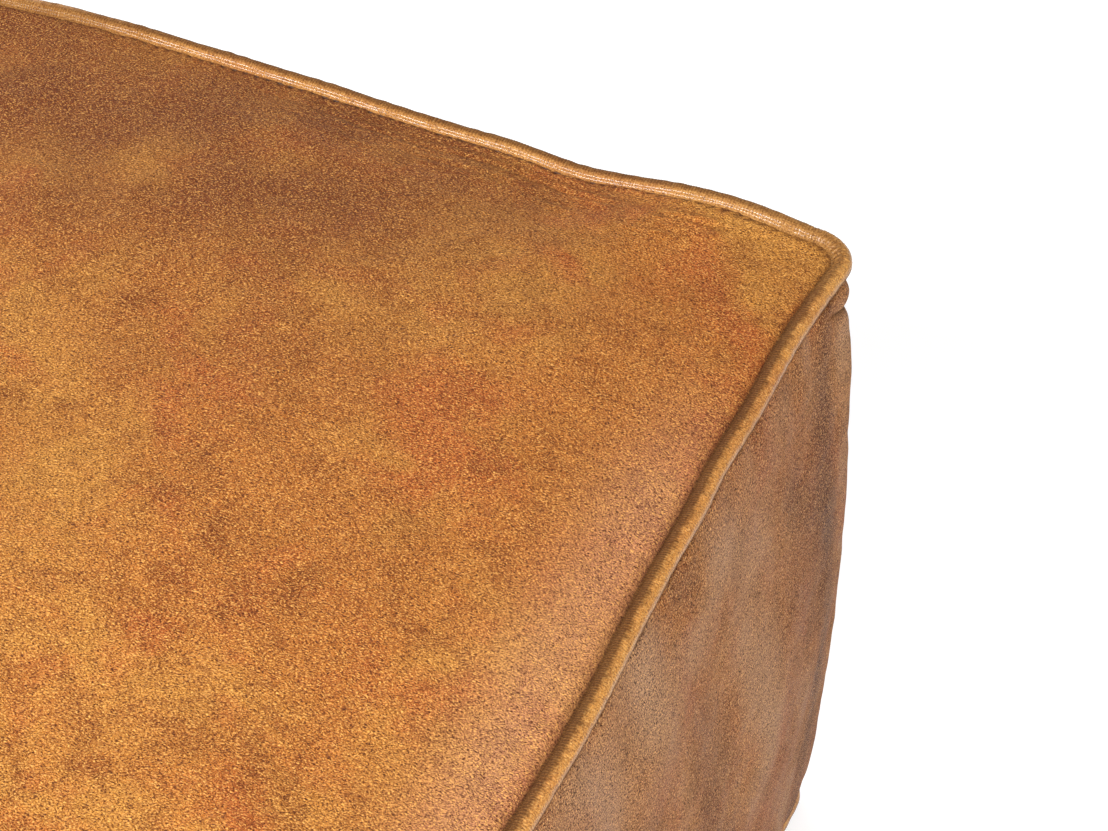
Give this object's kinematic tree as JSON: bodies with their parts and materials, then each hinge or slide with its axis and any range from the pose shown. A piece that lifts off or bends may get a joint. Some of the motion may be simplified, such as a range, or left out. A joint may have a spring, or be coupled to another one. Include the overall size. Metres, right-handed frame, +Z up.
{
  "type": "leather pouf",
  "caption": "Boxy soft leather floor pouf with piped top and base edges, swelling sides, wadded foam filling and a zipped base.",
  "frame": {"origin": "middle of the pouf's footprint, on the floor", "axes": "+Z up, front towards -Y, zip along X under the base"},
  "size_m": [0.5048, 0.5048, 0.428],
  "materials": {
    "leather": "semi-aniline cognac leather, waxed, mottled, fine pebble grain",
    "piping_leather": "the same leather wrapped round a cord, polished by handling",
    "cord": "twisted cotton piping cord",
    "thread": "waxed brown upholstery thread",
    "calico": "unbleached plain-weave cotton",
    "wadding": "white polyester fibre wadding",
    "foam": "open-cell upholstery foam",
    "zip_tape": "dark brown woven zip tape",
    "brass": "antiqued brass, lightly worn"
  },
  "bodies": {
    "pouf": {"top_panel": "leather", "side_band_right": "leather", "side_band_left": "leather", "base_panel_front": "leather", "base_panel_back": "leather", "top_piping": "piping_leather", "top_piping_cord": "cord", "base_piping": "piping_leather", "base_piping_cord": "cord", "top_seam_thread": "thread", "base_seam_thread": "thread", "zip_seam_thread": "thread", "liner_lid": "calico", "liner_side": "calico", "liner_base": "calico", "fibre_top": "wadding", "fibre_belt": "wadding", "fibre_base": "wadding", "foam_core": "foam", "zip_tape_front": "zip_tape", "zip_tape_back": "zip_tape", "zip_teeth_front": "brass", "zip_teeth_back": "brass", "zip_top_stops": "brass", "zip_bottom_stop": "brass"},
    "slider": {"zip_slider": "brass"},
    "pull": {"zip_pull": "brass"}
  },
  "joints": [
    {"name": "zip_slide", "type": "slide", "parent": "pouf", "child": "slider", "axis": [-1, 0, 0], "range_m": [0, 0.338]},
    {"name": "pull_swing", "type": "hinge", "parent": "slider", "child": "pull", "pos_m": [0.169, 0, 0.0024], "axis": [0, -1, 0], "range_deg": [0, 170]}
  ]
}
